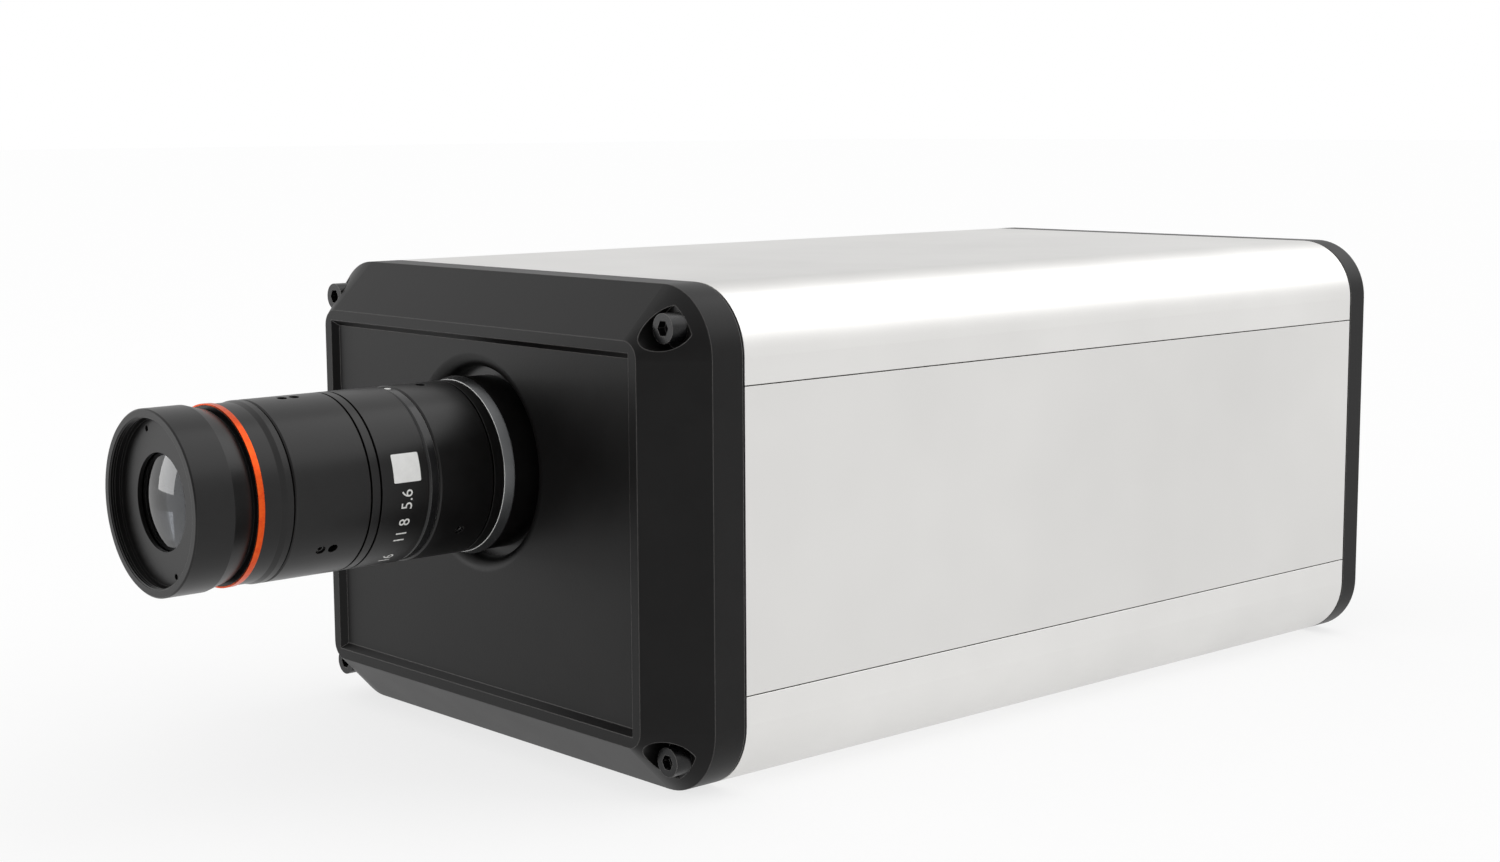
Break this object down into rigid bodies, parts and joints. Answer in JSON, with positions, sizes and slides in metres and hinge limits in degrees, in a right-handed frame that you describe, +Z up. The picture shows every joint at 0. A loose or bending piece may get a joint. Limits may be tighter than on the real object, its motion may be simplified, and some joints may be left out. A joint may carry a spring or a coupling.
{
  "type": "hyperspectral camera",
  "caption": "Box-shaped scanning hyperspectral camera: silver aluminium housing, black bevelled front cover and a long machine-vision lens with focus and iris rings.",
  "frame": {"origin": "mouth of the tripod thread in the underside, at the middle of the housing", "axes": "+Z up, the lens looks along -Y, +Y is the long way of the housing towards its rear, +X is to the right when the front is seen"},
  "size_m": [0.1354, 0.3186, 0.104],
  "materials": {
    "housing_aluminium": "bead-blasted, clear anodised",
    "panel_aluminium": "bead-blasted, clear anodised, a shade darker",
    "cover_black": "fine-textured black coat, satin",
    "screw_black": "black oxide",
    "gasket_rubber": "matt",
    "barrel_black": "black anodised, satin",
    "ring_steel": "bright machined",
    "accent_orange": "orange anodised",
    "index_grey": "dark grey anodised, satin",
    "lens_glass": "coated, clear",
    "grating_glass": "ruled",
    "bench_aluminium": "milled",
    "rail_steel": "ground",
    "nut_brass": "turned",
    "motor_black": "semi-gloss",
    "board_green": "solder resist",
    "chip_black": "window glass over silicon",
    "socket_nickel": "nickel plated",
    "insert_black": "moulded",
    "lamp_green": "clear tinted"
  },
  "bodies": {
    "housing": {"top_shell": "housing_aluminium", "bottom_shell": "housing_aluminium", "side_panel_left": "panel_aluminium", "side_panel_right": "panel_aluminium", "front_cover": "cover_black", "rear_cover": "cover_black", "front_cover_screws": "screw_black", "rear_cover_screws": "screw_black", "mount_screws": "screw_black", "bench_screws": "screw_black", "front_gasket": "gasket_rubber", "rear_gasket": "gasket_rubber", "fixed_barrel": "barrel_black", "stop_ring": "barrel_black", "lens_mount": "barrel_black", "iris_diaphragm": "barrel_black", "rear_retainer": "barrel_black", "mount_ring": "ring_steel", "index_ring": "index_grey", "rear_element": "lens_glass", "optical_bench": "bench_aluminium", "bearing_block": "bench_aluminium", "scan_rails": "rail_steel", "scan_motor": "motor_black", "main_board": "board_green", "round_sockets": "socket_nickel", "socket_nuts": "socket_nickel", "data_socket": "socket_nickel", "socket_inserts": "insert_black", "data_tongue": "insert_black", "switch_frame": "insert_black", "status_lamp": "lamp_green"},
    "focus": {"focus_ring": "barrel_black", "focus_ring_lock_screws": "screw_black"},
    "front_group": {"front_barrel": "barrel_black", "accent_ring": "accent_orange", "retaining_ring": "barrel_black", "front_element": "lens_glass", "inner_element": "lens_glass", "inner_retainer": "barrel_black"},
    "iris": {"iris_ring": "barrel_black", "iris_ring_lock_screws": "screw_black"},
    "scan_carriage": {"rail_blocks": "rail_steel", "carriage_plate": "bench_aluminium", "lead_nut": "nut_brass", "clamp_saddles": "bench_aluminium", "clamp_caps": "bench_aluminium", "slit_plate": "rail_steel", "slit_holder": "barrel_black", "spectrograph_tube": "barrel_black", "optics_spacers": "barrel_black", "collimating_lens": "lens_glass", "grating": "grating_glass", "imaging_lens": "lens_glass", "camera_body": "barrel_black", "sensor_board": "board_green", "sensor_chip": "chip_black", "sensor_heat_sink": "bench_aluminium"},
    "drive_screw": {"lead_screw": "rail_steel"},
    "rocker": {"power_rocker": "insert_black"}
  },
  "joints": [
    {"name": "focus_turn", "type": "hinge", "parent": "housing", "child": "focus", "pos_m": [0, -0.1702, 0.0631], "axis": [0, 1, 0], "range_deg": [0, 120]},
    {"name": "front_travel", "type": "slide", "parent": "housing", "child": "front_group", "axis": [0, -1, 0], "range_m": [0, 0.003]},
    {"name": "iris_turn", "type": "hinge", "parent": "housing", "child": "iris", "pos_m": [0, -0.1384, 0.0631], "axis": [0, 1, 0], "range_deg": [0, 75]},
    {"name": "scan_travel", "type": "slide", "parent": "housing", "child": "scan_carriage", "axis": [1, 0, 0], "range_m": [-0.007, 0.007]},
    {"name": "drive_turn", "type": "hinge", "parent": "housing", "child": "drive_screw", "pos_m": [0, 0.0533, 0.028], "axis": [1, 0, 0], "range_deg": [-1261, 1261]},
    {"name": "rocker_tilt", "type": "hinge", "parent": "housing", "child": "rocker", "pos_m": [0.038, 0.1132, 0.066], "axis": [1, 0, 0], "range_deg": [-16, 0]}
  ],
  "couplings": [
    {"joint": "focus_turn", "follows": "front_travel", "rad_per_m": 698.13},
    {"joint": "drive_turn", "follows": "scan_travel", "rad_per_m": 3141.6}
  ]
}
